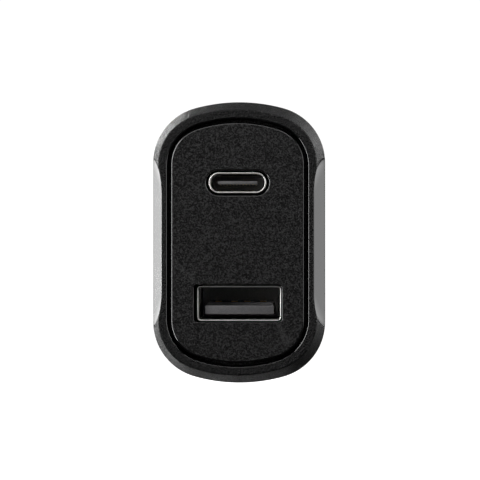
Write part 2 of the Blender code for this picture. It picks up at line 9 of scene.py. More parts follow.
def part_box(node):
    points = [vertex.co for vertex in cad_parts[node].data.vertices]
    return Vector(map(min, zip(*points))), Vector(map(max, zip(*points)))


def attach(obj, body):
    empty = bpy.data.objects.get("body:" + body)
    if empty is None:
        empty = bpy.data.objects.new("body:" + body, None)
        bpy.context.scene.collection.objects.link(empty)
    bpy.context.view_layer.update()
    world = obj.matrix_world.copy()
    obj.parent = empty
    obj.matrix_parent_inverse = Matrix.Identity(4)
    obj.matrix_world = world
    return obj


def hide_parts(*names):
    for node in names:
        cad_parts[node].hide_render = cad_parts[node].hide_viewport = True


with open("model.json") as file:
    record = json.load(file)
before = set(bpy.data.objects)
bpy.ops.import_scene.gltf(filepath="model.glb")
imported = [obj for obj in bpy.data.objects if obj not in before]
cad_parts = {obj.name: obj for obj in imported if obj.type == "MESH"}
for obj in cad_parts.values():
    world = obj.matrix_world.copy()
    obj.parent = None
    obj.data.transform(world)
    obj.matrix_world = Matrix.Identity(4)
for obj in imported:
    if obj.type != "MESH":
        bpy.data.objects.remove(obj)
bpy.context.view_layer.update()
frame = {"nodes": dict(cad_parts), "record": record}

# The charger's looks. Shapes are drawn in millimetres in the part's own frame: the ports face -Y,
# the plug points along +Y, and +Z is up.
MM = 0.001
CASING = "casing"
PLUG = "plug"
X, Y, Z = range(3)


def low_high(node):
    """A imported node's lowest and highest corners, in millimetres."""
    low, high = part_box(node)
    return Vector(low) / MM, Vector(high) / MM


CASING_LOW, CASING_HIGH = low_high("housing_shell")
FRONT = CASING_LOW.y
PARTING = CASING_HIGH.y
PANEL_FACE = low_high("front_panel")[0].y
PANEL_BACK = low_high("front_panel")[1].y

# Nested arch outlines, widest first: half width, half height, corner radius, crown radius.
ARCHES = (
    (13.5, 22.0, 8.9, 26.0),
    (12.2, 20.45, 7.6, 21.8),
    (10.87, 19.13, 6.7, 20.7),
    (10.29, 18.52, 5.7, 20.2),
    (9.5, 17.7, 5.5, 19.4),
)
BODY_HALF = ARCHES[0][0]
RIM_HALF = ARCHES[1][0]
OPENING_HALF = ARCHES[2][0]
PANEL_HALF = ARCHES[3][0]
LEDGE_HALF = ARCHES[4][0]
INNER_HALF = 11.5

# The collar flares back from the rim, and a finger scoop cuts into each flank of it.
SHOULDER = 0.3
COLLAR_DEPTH = 6.5
COLLAR_SLOPE = (BODY_HALF - RIM_HALF) / COLLAR_DEPTH
COLLAR_BLEND = 0.12
SCOOP_X = 11.71
SCOOP_DEPTH = 7.0
SCOOP_SLOPE = (BODY_HALF - SCOOP_X) / SCOOP_DEPTH
SCOOP_FLAT = 7.35
SCOOP_SPREAD = 0.63
SCOOP_END = 17.9
SCOOP_CREASE = 0.05
SCOOP_REACH = 11.0
RIM_FLAT_HALF = RIM_HALF - SHOULDER - 0.15

# How far apart the casing's rings lie along the collar, how many there are, and where the rest lie.
HOOP = 0.25
COLLAR_HOOPS = 48
BODY_HOOPS = (38, 30, 22, 16)

# The opening's rounded edge, and the ledge inside it, which the front panel's flange rests on.
RIM_FILLET = 0.2
LEDGE_DEPTH = 2.7
LEDGE_BACK = 3.9
HALF_WALL = 1.0

# The front panel's holes: half width, half height, corner radius, centre. Then each hole's rounded rim.
USB_C_HOLE = (4.84, 1.9, 1.89, (0.0, 9.2))
USB_A_HOLE = (6.8, 2.9, 0.55, (0.05, -9.4))
PANEL_HOLES = ((USB_C_HOLE, 0.26), (USB_A_HOLE, 0.14))

# The "polish" attribute is how deep a point lies inside a polished zone, and is below zero outside.
POLISHED = 0.2
GRAINED = -1.0

# How many points go round each kind of ring.
CASING_RING = 480
COVER_RING = 320
PANEL_RING = 360
SLEEVE_RING = 200
SPIGOT_RING = 160
HOLE_RING = 160
CORE_RING = 120

LEAST_CORNER = 0.02
MERGE_WITHIN = 1e-4
CREASE_ANGLE = 35


# ------------------------------------------------------------------ outlines and skins


class Outline:
    """A closed outline: a straight flank, a corner arc, then a straight top or a wide crown arc."""

    def __init__(self, half_width, half_height, corner, crown=None, centre=(0.0, 0.0)):
        self.sizes = (half_width, half_height, corner, crown)
        self.centre = centre
        if crown is None:
            self.turn = math.pi / 2
            self.corner_centre = (half_width - corner, half_height - corner)
            self.top_length = half_width - corner
        else:
            across = half_width - corner
            crown_z = half_height - crown
            rise = math.sqrt((crown - corner) ** 2 - across**2)
            self.turn = math.atan2(rise, across)
            self.corner_centre = (across, crown_z + rise)
            self.top_length = crown * (math.pi / 2 - self.turn)

    def at(self, share):
        """The point this share of the way round, anticlockwise from the middle of the right flank."""
        half_width, half_height, corner, crown = self.sizes
        quarter, along = divmod(share * 4 % 4, 1)
        if quarter in (1, 3):
            along = 1 - along
        across, up = self.corner_centre
        run = along * (up + corner * self.turn + self.top_length)
        if run <= up:
            x, z = half_width, run
        elif run <= up + corner * self.turn:
            angle = (run - up) / corner
            x, z = across + corner * math.cos(angle), up + corner * math.sin(angle)
        elif crown is None:
            x, z = across - (run - up - corner * self.turn), half_height
        else:
            angle = self.turn + (run - up - corner * self.turn) / crown
            x, z = crown * math.cos(angle), half_height - crown + crown * math.sin(angle)
        x = -x if quarter in (1, 2) else x
        z = -z if quarter in (2, 3) else z
        return self.centre[0] + x, self.centre[1] + z


def arch(half_width):
    """The arch outline of this half width, between the nested ones."""
    for wider, narrower in zip(ARCHES, ARCHES[1:]):
        if half_width >= narrower[0] or narrower is ARCHES[-1]:
            share = (wider[0] - half_width) / (wider[0] - narrower[0])
            return Outline(*(a + (b - a) * share for a, b in zip(wider, narrower)))


def slot_family(half_width, half_height, corner, centre):
    """A function from an offset to this rounded slot's outline, grown by the offset."""

    def grown(by):
        return Outline(half_width + by, half_height + by, max(corner + by, LEAST_CORNER), None, centre)

    return grown


def rounded(corners, steps=4):
    """The points of a path through (size, depth, radius) corners, with each corner rounded off."""
    points = []
    for index, (size, depth, radius) in enumerate(corners):
        here = Vector((size, depth))
        if radius == 0 or index in (0, len(corners) - 1):
            points.append(here)
            continue
        to_last = (Vector(corners[index - 1][:2]) - here).normalized()
        to_next = (Vector(corners[index + 1][:2]) - here).normalized()
        half = to_last.angle(to_next) / 2
        centre = here + (to_last + to_next).normalized() * radius / math.sin(half)
        start = here + to_last * radius / math.tan(half) - centre
        end = here + to_next * radius / math.tan(half) - centre
        points += [centre + start.slerp(end, step / steps) * radius for step in range(steps + 1)]
    return [(point.x, point.y) for point in points]


def skin(bm, outline_of, profile, segments, closed=True, shaped=None):
    """Extrudes a ring along a (size, depth) profile, each loop on its own outline.

    shaped may move a point and mark it as polished. Returns the skin's two end loops.
    """
    around = bm.verts.layers.float.get("around") or bm.verts.layers.float.new("around")
    polish = bm.verts.layers.float.get("polish") or bm.verts.layers.float.new("polish")
    verts = bmesh.ops.create_circle(bm, segments=segments, radius=1.0)["verts"]
    for vert in verts:
        steps = round(math.atan2(vert.co.y, vert.co.x) / math.tau * segments)
        vert[around] = steps / segments % 1
    ring = list(dict.fromkeys(edge for vert in verts for edge in vert.link_edges))
    first = ring
    for index, (size, depth) in enumerate(profile):
        if index:
            grown = bmesh.ops.extrude_edge_only(bm, edges=ring)["geom"]
            verts = [part for part in grown if isinstance(part, bmesh.types.BMVert)]
            new = set(verts)
            edges = [part for part in grown if isinstance(part, bmesh.types.BMEdge)]
            ring = [edge for edge in edges if new.issuperset(edge.verts)]
        outline = outline_of(size)
        for vert in verts:
            x, z = outline.at(vert[around])
            vert.co = (x, depth, z)
            vert[polish] = GRAINED
            if shaped:
                vert.co, vert[polish] = shaped(vert.co, size)
    if closed:
        bmesh.ops.remove_doubles(bm, verts=bm.verts, dist=MERGE_WITHIN)
    return first, ring


def capped(bm, *rings):
    """Closes each ring with a flat face."""
    for ring in rings:
        bmesh.ops.contextual_create(bm, geom=ring)


def finished(name, bm, material, body, replaces=()):
    """Puts a bmesh in the scene as a piece that rides on a body, in metres."""
    bmesh.ops.recalc_face_normals(bm, faces=bm.faces)
    bmesh.ops.scale(bm, vec=(MM, MM, MM), verts=bm.verts)
    mesh = bpy.data.meshes.new(name)
    bm.to_mesh(mesh)
    bm.free()
    mesh.materials.append(material)
    mesh.shade_smooth()
    mesh.set_sharp_from_angle(angle=math.radians(CREASE_ANGLE))
    piece = bpy.data.objects.new(name, mesh)
    bpy.context.scene.collection.objects.link(piece)
    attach(piece, body)
    if replaces:
        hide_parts(*replaces)


def combined(bm, operation, *others):
    """Joins bmeshes to the first one, or cuts them from it, and returns the result as a new bmesh."""
    for other in others:
        pair = []
        for part in (bm, other):
            bmesh.ops.recalc_face_normals(part, faces=part.faces)
            mesh = bpy.data.meshes.new("working")
            part.to_mesh(mesh)
            part.free()
            pair.append(bpy.data.objects.new("working", mesh))
            bpy.context.scene.collection.objects.link(pair[-1])
        modifier = pair[0].modifiers.new("working", "BOOLEAN")
        modifier.operation = operation
        modifier.object = pair[1]
        graph = bpy.context.evaluated_depsgraph_get()
        result = bpy.data.meshes.new_from_object(pair[0].evaluated_get(graph))
        bm = bmesh.new()
        bm.from_mesh(result)
        bpy.data.meshes.remove(result)
        for obj in pair:
            bpy.data.meshes.remove(obj.data)
    return bm


def softened(bm, edges, width, segments=3):
    """Rounds these edges, and returns the same bmesh."""
    bmesh.ops.bevel(
        bm, geom=edges, offset=width, segments=segments, profile=0.5, affect="EDGES", material=-1
    )
    return bm


def span(edge, axis):
    """How far an edge runs along an axis."""
    first, second = edge.verts
    return abs(first.co[axis] - second.co[axis])


def box(low, high, edge=0.0, segments=3):
    """A box between two corners, in millimetres, with every edge rounded by edge."""
    low, high = Vector(low), Vector(high)
    bm = bmesh.new()
    bmesh.ops.create_cube(bm, size=1.0)
    bmesh.ops.scale(bm, vec=high - low, verts=bm.verts)
    bmesh.ops.translate(bm, vec=(low + high) / 2, verts=bm.verts)
    return softened(bm, bm.edges[:], edge, segments) if edge else bm


def rod(radius, start, end, around, edge=0.0):
    """A cylinder from start to end, with both rims rounded by edge."""
    start, end = Vector(start), Vector(end)
    along = end - start
    bm = bmesh.new()
    bmesh.ops.create_cone(
        bm, cap_ends=True, segments=around, radius1=radius, radius2=radius, depth=along.length
    )
    if edge:
        rims = [e for e in bm.edges if span(e, Z) < 1e-6]
        softened(bm, rims, edge)
    turn = along.to_track_quat("Z", "Y").to_matrix().to_4x4()
    bmesh.ops.transform(bm, matrix=Matrix.Translation((start + end) / 2) @ turn, verts=bm.verts)
    return bm


def sharp_edges(bm, angle):
    """The edges where two faces meet at more than this angle, in degrees."""
    return [e for e in bm.edges if e.is_manifold and e.calc_face_angle() > math.radians(angle)]


def smaller(a, b, blend):
    """The smaller of two numbers, with the change from one to the other rounded over blend."""
    near = max(blend - abs(a - b), 0.0) / blend
    return min(a, b) - near * near * blend / 4


# ------------------------------------------------------------------ materials


def linked(tree, socket, value):
    """Sets a socket to a value, or links it from another node's output."""
    if isinstance(value, bpy.types.NodeSocket):
        tree.links.new(value, socket)
    elif value is not None:
        socket.default_value = value


def add_node(tree, kind, inputs=None, **settings):
    """Adds a shader node, with its settings and its inputs by name or number."""
    node = tree.nodes.new(kind)
    for key, value in settings.items():
        setattr(node, key, value)
    for key, value in (inputs or {}).items():
        linked(tree, node.inputs[key], value)
    return node


def math_node(tree, operation, *values):
    return add_node(tree, "ShaderNodeMath", dict(enumerate(values)), operation=operation).outputs[0]


def times(tree, first, second):
    return math_node(tree, "MULTIPLY", first, second)


def object_place(tree):
    """The place on the piece, in metres."""
    return add_node(tree, "ShaderNodeTexCoord").outputs["Object"]


def noise(tree, place, scale, detail, roughness=0.5, distortion=0.0):
    """Cloudy noise, from 0 to 1."""
    inputs = {
        "Vector": place,
        "Scale": scale,
        "Detail": detail,
        "Roughness": roughness,
        "Distortion": distortion,
    }
    return add_node(tree, "ShaderNodeTexNoise", inputs).outputs[0]


def opaque(colour, share=1.0):
    """A colour made darker or lighter by a share, as a colour socket takes it."""
    return (*(share * part for part in colour), 1)


def ramp(tree, value, low, high, to_low=0.0, to_high=1.0):
    """Maps low..high to to_low..to_high, and holds it there beyond them."""
    inputs = {"Value": value, "From Min": low, "From Max": high, "To Min": to_low, "To Max": to_high}
    return add_node(tree, "ShaderNodeMapRange", inputs).outputs[0]


def mixed(tree, factor, first, second):
    """A colour between two, by a factor."""
    node = add_node(tree, "ShaderNodeMix", {0: factor}, data_type="RGBA")
    linked(tree, node.inputs[6], first)
    linked(tree, node.inputs[7], second)
    return node.outputs[2]


def new_group(name, inputs, outputs):
    """A shader node group with named number inputs, and its input and output nodes."""
    group = bpy.data.node_groups.new(name, "ShaderNodeTree")
    for label, value in inputs.items():
        socket = group.interface.new_socket(label, in_out="INPUT", socket_type="NodeSocketFloat")
        socket.default_value = value
    for label, kind in outputs.items():
        group.interface.new_socket(label, in_out="OUTPUT", socket_type=kind)
    return group, group.nodes.new("NodeGroupInput"), group.nodes.new("NodeGroupOutput")


def grain_group():
    """The spark-eroded grain of a moulding tool: rounded pits, with finer noise between them."""
    group, given, made = new_group(
        "moulding grain",
        {"Scale": 3400.0, "Pit Share": 0.7},
        {"Height": "NodeSocketFloat", "Tone": "NodeSocketFloat"},
    )
    place = object_place(group)
    scale = given.outputs["Scale"]
    cells = add_node(
        group,
        "ShaderNodeTexVoronoi",
        {"Vector": place, "Scale": scale, "Smoothness": 0.4},
        feature="SMOOTH_F1",
    )
    uneven = noise(group, place, times(group, scale, 0.8), 1.0, roughness=0.6)
    drift = noise(group, place, times(group, scale, 0.04), 3.0)
    pits = times(group, cells.outputs["Distance"], given.outputs["Pit Share"])
    random = add_node(group, "ShaderNodeSeparateColor", {0: cells.outputs["Color"]}).outputs[0]
    speck = times(group, random, ramp(group, uneven, 0.38, 0.6, 0.1, 1.9))
    drift_share = 0.1
    tone = math_node(
        group, "ADD", times(group, speck, 1 - drift_share), times(group, drift, drift_share)
    )
    linked(group, made.inputs["Height"], math_node(group, "ADD", uneven, pits))
    linked(group, made.inputs["Tone"], tone)
    return group


def wear_group():
    """Edges that handling has polished, and faint smudges over broad faces."""
    group, given, made = new_group(
        "handling wear",
        {"Edge Start": 0.52, "Edge Full": 0.6, "Smudge Scale": 260.0},
        {"Edge": "NodeSocketFloat", "Smudge": "NodeSocketFloat"},
    )
    place = object_place(group)
    raised = add_node(group, "ShaderNodeNewGeometry").outputs["Pointiness"]
    broken = noise(group, place, 900.0, 3.0)
    edge = ramp(group, raised, given.outputs["Edge Start"], given.outputs["Edge Full"])
    patchy = times(group, edge, ramp(group, broken, 0.35, 0.6, 0.35, 1.0))
    smudges = noise(group, place, given.outputs["Smudge Scale"], 4.0, 0.55, 0.6)
    linked(group, made.inputs["Edge"], patchy)
    linked(group, made.inputs["Smudge"], ramp(group, smudges, 0.45, 0.7))
    return group


GRAIN = grain_group()
WEAR = wear_group()


def use_group(tree, group, **inputs):
    """Places a group in a material, with its inputs by name and _ for a space."""
    node = add_node(tree, "ShaderNodeGroup", node_tree=group)
    for label, value in inputs.items():
        linked(tree, node.inputs[label.replace("_", " ")], value)
    return node


def new_material(name):
    """A material with its tree and its shader."""
    material = bpy.data.materials.new(name)
    material.use_nodes = True
    tree = material.node_tree
    return material, tree, tree.nodes["Principled BSDF"]


def bumped(tree, height, distance):
    """Turns a height from 0 to 1 into relief of this depth, in metres."""
    inputs = {"Height": height, "Distance": distance, "Strength": 1.0}
    return add_node(tree, "ShaderNodeBump", inputs).outputs[0]


def grained_plastic(name, light, rough, depth, scale, polish=None, gloss=0.1, level=0.15):
    """Black moulded plastic with an eroded grain. polish names the attribute that marks a smooth zone."""
    material, tree, shader = new_material(name)
    grain = use_group(tree, GRAIN, Scale=scale)
    wear = use_group(tree, WEAR)
    height, tone = grain.outputs["Height"], grain.outputs["Tone"]
    edge, smudge = wear.outputs["Edge"], wear.outputs["Smudge"]
    dark = opaque(DEEP_BLACK)
    colour = mixed(tree, tone, dark, opaque(light))
    colour = mixed(tree, times(tree, edge, 0.35), colour, opaque(light, 1.8))
    roughness = ramp(tree, tone, 0.0, 1.0, rough - 0.05, rough + 0.05)
    roughness = math_node(tree, "SUBTRACT", roughness, times(tree, edge, 0.14))
    if polish:
        depth_in = add_node(tree, "ShaderNodeAttribute", attribute_name=polish).outputs["Fac"]
        smooth = ramp(tree, depth_in, 0.02, 0.05)
        keep = math_node(tree, "SUBTRACT", 1.0, smooth)
        seam = times(tree, ramp(tree, depth_in, -0.04, 0.0), keep)
        colour = mixed(tree, smooth, colour, dark)
        glossy = ramp(tree, smudge, 0.0, 1.0, gloss, gloss + 0.07)
        roughness = math_node(tree, "ADD", times(tree, roughness, keep), times(tree, glossy, smooth))
        roughness = math_node(tree, "MAXIMUM", roughness, seam)
        height = math_node(tree, "SUBTRACT", times(tree, height, keep), times(tree, seam, 0.3))
        linked(tree, shader.inputs["Coat Weight"], ramp(tree, depth_in, 0.02, 0.14))
        shader.inputs["Coat Roughness"].default_value = gloss
    linked(tree, shader.inputs["Base Color"], colour)
    linked(tree, shader.inputs["Roughness"], roughness)
    linked(tree, shader.inputs["Normal"], bumped(tree, height, depth))
    shader.inputs["Specular IOR Level"].default_value = level
    return material


def satin_plastic(name, colour, rough):
    """Fine satin moulding, for pieces inside the ports and the case."""
    material, tree, shader = new_material(name)
    grain = use_group(tree, GRAIN, Scale=SATIN_SCALE)
    wear = use_group(tree, WEAR)
    toned = mixed(tree, grain.outputs["Tone"], opaque(colour, 0.72), opaque(colour))
    worn = times(tree, wear.outputs["Edge"], 0.3)
    roughness = ramp(tree, wear.outputs["Smudge"], 0.0, 1.0, rough, rough - 0.08)
    linked(tree, shader.inputs["Base Color"], mixed(tree, worn, toned, opaque(colour, 1.5)))
    linked(tree, shader.inputs["Roughness"], roughness)
    linked(tree, shader.inputs["Normal"], bumped(tree, grain.outputs["Height"], SATIN_DEPTH))
    return material


def plated_metal(name, colour, rough, streak=(60.0, 60.0, 2600.0), stain=0.25, depth=0.000002):
    """Drawn or stamped sheet with fine rolling lines, duller where fingers or plugs have rubbed it."""
    material, tree, shader = new_material(name)
    stretched = add_node(tree, "ShaderNodeMapping", {"Vector": object_place(tree), "Scale": streak})
    lines = noise(tree, stretched.outputs[0], 1.0, 4.0)
    wear = use_group(tree, WEAR, Smudge_Scale=420.0)
    edge, smudge = wear.outputs["Edge"], wear.outputs["Smudge"]
    toned = mixed(tree, smudge, opaque(colour), opaque(colour, 1 - stain))
    lighter = tuple(min(1.0, part * 1.12) for part in colour)
    base = ramp(tree, lines, 0.3, 0.7, rough - 0.05, rough + 0.06)
    roughness = math_node(tree, "ADD", base, times(tree, smudge, 0.1))
    linked(tree, shader.inputs["Base Color"], mixed(tree, edge, toned, opaque(lighter)))
    linked(tree, shader.inputs["Roughness"], roughness)
    linked(tree, shader.inputs["Normal"], bumped(tree, lines, depth))
    shader.inputs["Metallic"].default_value = 1.0
    return material


def board_laminate():
    """Green lacquer over copper tracks on glass laminate, with bare laminate along the cut edges."""
    lacquer = (0.02, 0.13, 0.05)
    over_track = (0.045, 0.24, 0.09)
    bare = (0.35, 0.33, 0.18)
    material, tree, shader = new_material("board laminate")
    cells = add_node(
        tree,
        "ShaderNodeTexVoronoi",
        {"Vector": object_place(tree), "Scale": 420.0},
        distance="MANHATTAN",
        feature="F1",
    )
    tracks = ramp(tree, cells.outputs["Distance"], 0.32, 0.36)
    wear = use_group(tree, WEAR)
    green = mixed(tree, tracks, opaque(lacquer), opaque(over_track))
    edge = times(tree, wear.outputs["Edge"], 0.4)
    linked(tree, shader.inputs["Base Color"], mixed(tree, edge, green, opaque(bare)))
    linked(tree, shader.inputs["Roughness"], ramp(tree, wear.outputs["Smudge"], 0.0, 1.0, 0.28, 0.4))
    linked(tree, shader.inputs["Normal"], bumped(tree, tracks, 0.00002))
    return material


def wound(name, colour, rough, pitch):
    """Wire or tape wound in even turns up Z: pale ridges, and dark valleys that are painted shade between
    the turns, with bumps that follow the turns.
    """
    material, tree, shader = new_material(name)
    turns = add_node(
        tree,
        "ShaderNodeTexWave",
        {"Vector": object_place(tree), "Scale": WAVE_PERIOD / pitch, "Distortion": 0.15},
        bands_direction="Z",
    ).outputs["Fac"]
    wear = use_group(tree, WEAR)
    roughness = ramp(tree, wear.outputs["Smudge"], 0.0, 1.0, rough, rough + 0.12)
    # Painted shade: the valleys between turns are darkened to 0.45 of the colour; the ridges keep the plain
    # colour.
    linked(tree, shader.inputs["Base Color"], mixed(tree, turns, opaque(colour, 0.45), opaque(colour)))
    linked(tree, shader.inputs["Roughness"], roughness)
    linked(tree, shader.inputs["Normal"], bumped(tree, turns, 0.4 * pitch))
    return material


# Depths of relief and pitches are in metres. A wave of scale 1 repeats each WAVE_PERIOD.
DEEP_BLACK = (0.001, 0.001, 0.0011)
SATIN_SCALE = 5200.0
SATIN_DEPTH = 0.000008
WAVE_PERIOD = 0.31

CASING_BLACK = grained_plastic(
    "casing black",
    light=(0.0085, 0.0084, 0.0085),
    rough=0.5,
    depth=0.00024,
    scale=4400.0,
    polish="polish",
    gloss=0.1,
    level=0.13,
)
PANEL_BLACK = grained_plastic(
    "panel black",
    light=(0.0305, 0.0303, 0.0305),
    rough=0.5,
    depth=0.00016,
    scale=5000.0,
    polish="polish",
    gloss=0.12,
    level=0.04,
)
COVER_BLACK = grained_plastic(
    "rear cover black", light=(0.03, 0.0298, 0.03), rough=0.5, depth=0.00012, scale=5200.0
)
BARREL_BLACK = satin_plastic("barrel black", (0.02, 0.02, 0.021), 0.42)
TONGUE_BLACK = satin_plastic("port moulding", (0.075, 0.073, 0.076), 0.5)
SLEEVE_STEEL = plated_metal("port steel", (0.86, 0.85, 0.82), 0.42, stain=0.1)
CONTACT_GOLD = plated_metal("contact gold", (0.7, 0.5, 0.2), 0.34)
BLADE_NICKEL = plated_metal(
    "blade nickel", (0.64, 0.63, 0.61), 0.34, streak=(2600.0, 60.0, 2600.0), depth=0.0000006
)

# The finish of each material slot, for the parts that stay as they were packed.
FINISHES = {
    "port_steel": SLEEVE_STEEL,
    "contact_gold": CONTACT_GOLD,
    "screw_steel": plated_metal("screw zinc", (0.62, 0.62, 0.63), 0.3),
    "spring_bronze": plated_metal("spring bronze", (0.72, 0.5, 0.3), 0.26),
    "laminate": board_laminate(),
    "chip_plastic": satin_plastic("chip moulding", (0.02, 0.02, 0.022), 0.45),
    "insulating_card": satin_plastic("insulating card", (0.55, 0.5, 0.36), 0.7),
    "ferrite": satin_plastic("ground ferrite", (0.06, 0.06, 0.065), 0.38),
    "bobbin_plastic": BARREL_BLACK,
    "winding_tape": wound("winding tape", (0.75, 0.55, 0.06), 0.25, 0.0011),
    "capacitor_sleeve": satin_plastic("shrink sleeve", (0.03, 0.05, 0.14), 0.24),
    "capacitor_can": plated_metal("bare can", (0.75, 0.75, 0.76), 0.3),
    "film_capacitor": satin_plastic("film capacitor box", (0.7, 0.5, 0.05), 0.3),
    "fuse_body": satin_plastic("fuse sleeve", (0.14, 0.07, 0.03), 0.4),
    "disc_coating": satin_plastic("dipped coating", (0.04, 0.16, 0.5), 0.3),
    "choke_copper": wound("enamelled copper", (0.6, 0.22, 0.08), 0.22, 0.0006),
    "pad_silicone": satin_plastic("silicone pad", (0.35, 0.45, 0.6), 0.6),
    "spreader_aluminium": plated_metal("spreader sheet", (0.76, 0.77, 0.78), 0.3, (60.0, 2600.0, 60.0)),
    "live_insulation": satin_plastic("live insulation", (0.5, 0.03, 0.02), 0.34),
    "neutral_insulation": satin_plastic("neutral insulation", (0.02, 0.02, 0.02), 0.34),
}


# ------------------------------------------------------------------ casing


def scoop_x(depth, z):
    """How far out the finger scoop's surface lies, at this depth behind the front."""
    beyond = max(0.0, abs(z) - SCOOP_FLAT - SCOOP_SPREAD * depth)
    return SCOOP_X + SCOOP_SLOPE * depth + beyond * beyond / (2 * SCOOP_END)


def scooped(point, half_width):
    """A casing point drawn in to the finger scoop, and how deep inside the scoop it lies.

    Points on the rim's flat, on the inside and far back stay put, and the rim's inner edge is polished.
    """
    depth = point.y - FRONT
    if half_width < RIM_FLAT_HALF or depth > SCOOP_REACH:
        on_inner_edge = half_width < OPENING_HALF + RIM_FILLET - 0.01 and depth < RIM_FILLET + 0.05
        return point, POLISHED if on_inner_edge else GRAINED
    out = abs(point.x)
    if depth <= SHOULDER:
        edge_x = scoop_x(0.0, point.z)
        new_out = out - (RIM_HALF - smaller(RIM_HALF, edge_x, SCOOP_CREASE))
        inside = min(RIM_HALF - edge_x, depth - 0.4 * SHOULDER)
    else:
        surface = scoop_x(depth, point.z)
        new_out = smaller(out, surface, SCOOP_CREASE)
        inside = out - surface
    return Vector((math.copysign(new_out, point.x), point.y, point.z)), inside


def collar_half(depth):
    """The casing's half width at this depth behind the front."""
    return smaller(RIM_HALF + COLLAR_SLOPE * depth, BODY_HALF, COLLAR_BLEND)


def make_casing():
    """The casing, in one closed section: back over the outside, round the rim and in again."""
    back = (INNER_HALF + HALF_WALL, PARTING, 0)
    outside = rounded([back, (BODY_HALF, PARTING, 0.25), (BODY_HALF, FRONT + COLLAR_HOOPS * HOOP, 0)])
    body = [(BODY_HALF, FRONT + depth) for depth in BODY_HOOPS]
    collar = [(collar_half(step * HOOP), FRONT + step * HOOP) for step in range(COLLAR_HOOPS, 2, -1)]
    rim = rounded(
        [
            (collar_half(2 * HOOP), FRONT + 2 * HOOP, 0),
            (RIM_HALF + COLLAR_SLOPE * 0.05, FRONT, SHOULDER),
            (RIM_HALF - SHOULDER - 0.1, FRONT, 0),
            (OPENING_HALF + 0.27, FRONT, 0),
            (OPENING_HALF, FRONT, RIM_FILLET),
            (OPENING_HALF, FRONT + LEDGE_DEPTH, 0.1),
            (LEDGE_HALF, FRONT + LEDGE_DEPTH, 0.1),
            (LEDGE_HALF, FRONT + LEDGE_BACK, 0.1),
            (INNER_HALF, FRONT + LEDGE_BACK, 0.3),
            (INNER_HALF, PARTING, 0.1),
            back,
        ]
    )
    bm = bmesh.new()
    skin(bm, arch, outside[:-1] + body + collar + rim, CASING_RING, shaped=scooped)
    finished("casing", bm, CASING_BLACK, CASING, ["housing_shell"])


def polished_edge(near_low, near_high):
    """A skin shaper that marks the edge between two sizes as polished."""

    def shaped(point, size):
        on_edge = near_low < size < near_high and point.y < PANEL_FACE + 0.3
        return point, POLISHED if on_edge else GRAINED

    return shaped


def make_panel():
    """The front panel: a flush inlay on a flange, with a hole for each receptacle."""
    edge = 0.32
    step_y = FRONT + 2.25
    flange = OPENING_HALF - 0.12
    path = rounded(
        [
            (PANEL_HALF - 0.7, PANEL_FACE, 0),
            (PANEL_HALF - edge - 0.08, PANEL_FACE, 0),
            (PANEL_HALF, PANEL_FACE, edge),
            (PANEL_HALF, step_y, 0.05),
            (flange, step_y, 0.05),
            (flange, PANEL_BACK, 0),
        ],
        5,
    )
    bm = bmesh.new()
    shaped = polished_edge(PANEL_HALF - 0.9 * edge, PANEL_HALF + 0.01)
    fronts, backs = map(list, skin(bm, arch, path, PANEL_RING, False, shaped))
    for hole, rim in PANEL_HOLES:
        hole_path = rounded(
            [
                (rim + 0.3, PANEL_FACE, 0),
                (rim + 0.06, PANEL_FACE, 0),
                (0.0, PANEL_FACE, rim),
                (0.0, PANEL_BACK, 0),
            ],
            5,
        )
        shaped = polished_edge(-0.01, 0.9 * rim)
        ends = skin(bm, slot_family(*hole), hole_path, HOLE_RING, False, shaped)
        fronts += ends[0]
        backs += ends[1]
    for edges, facing in ((fronts, -1), (backs, 1)):
        bmesh.ops.triangle_fill(bm, use_beauty=True, edges=edges, normal=(0, facing, 0))
    finished("face_panel", bm, PANEL_BLACK, CASING, ["front_panel"])


# ------------------------------------------------------------------ receptacles


def sleeve(name, node, outline_of, wall, lip, sunk=0.0):
    """A drawn steel shell with a rounded mouth."""
    low, high = low_high(node)
    low.y += sunk
    half = wall / 2
    path = rounded(
        [
            (-half, high.y, 0),
            (0.0, high.y, 0.05),
            (0.0, low.y, lip),
            (-wall, low.y, lip),
            (-wall, high.y, 0.05),
            (-half, high.y, 0),
        ],
        6,
    )
    bm = bmesh.new()
    skin(bm, outline_of, path, SLEEVE_RING)
    finished(name, bm, SLEEVE_STEEL, CASING, [node])


def port_core(name, node, outline_of, base_y, tongue, edge, *more):
    """A receptacle's moulding: the base that fills the shell, and the tongue that a plug goes over."""
    high = low_high(node)[1]
    bm = bmesh.new()
    ends = skin(bm, outline_of, [(0.0, base_y), (0.0, high.y)], CORE_RING, False)
    capped(bm, *ends)
    bm = combined(bm, "UNION", box(*tongue, edge), *more)
    finished(name, bm, TONGUE_BLACK, CASING, [node])


def shell_outline(node):
    """A shell's half width, half height and centre, seen from the front."""
    low, high = low_high(node)
    centre = ((high.x + low.x) / 2, (high.z + low.z) / 2)
    return (high.x - low.x) / 2, (high.z - low.z) / 2, centre


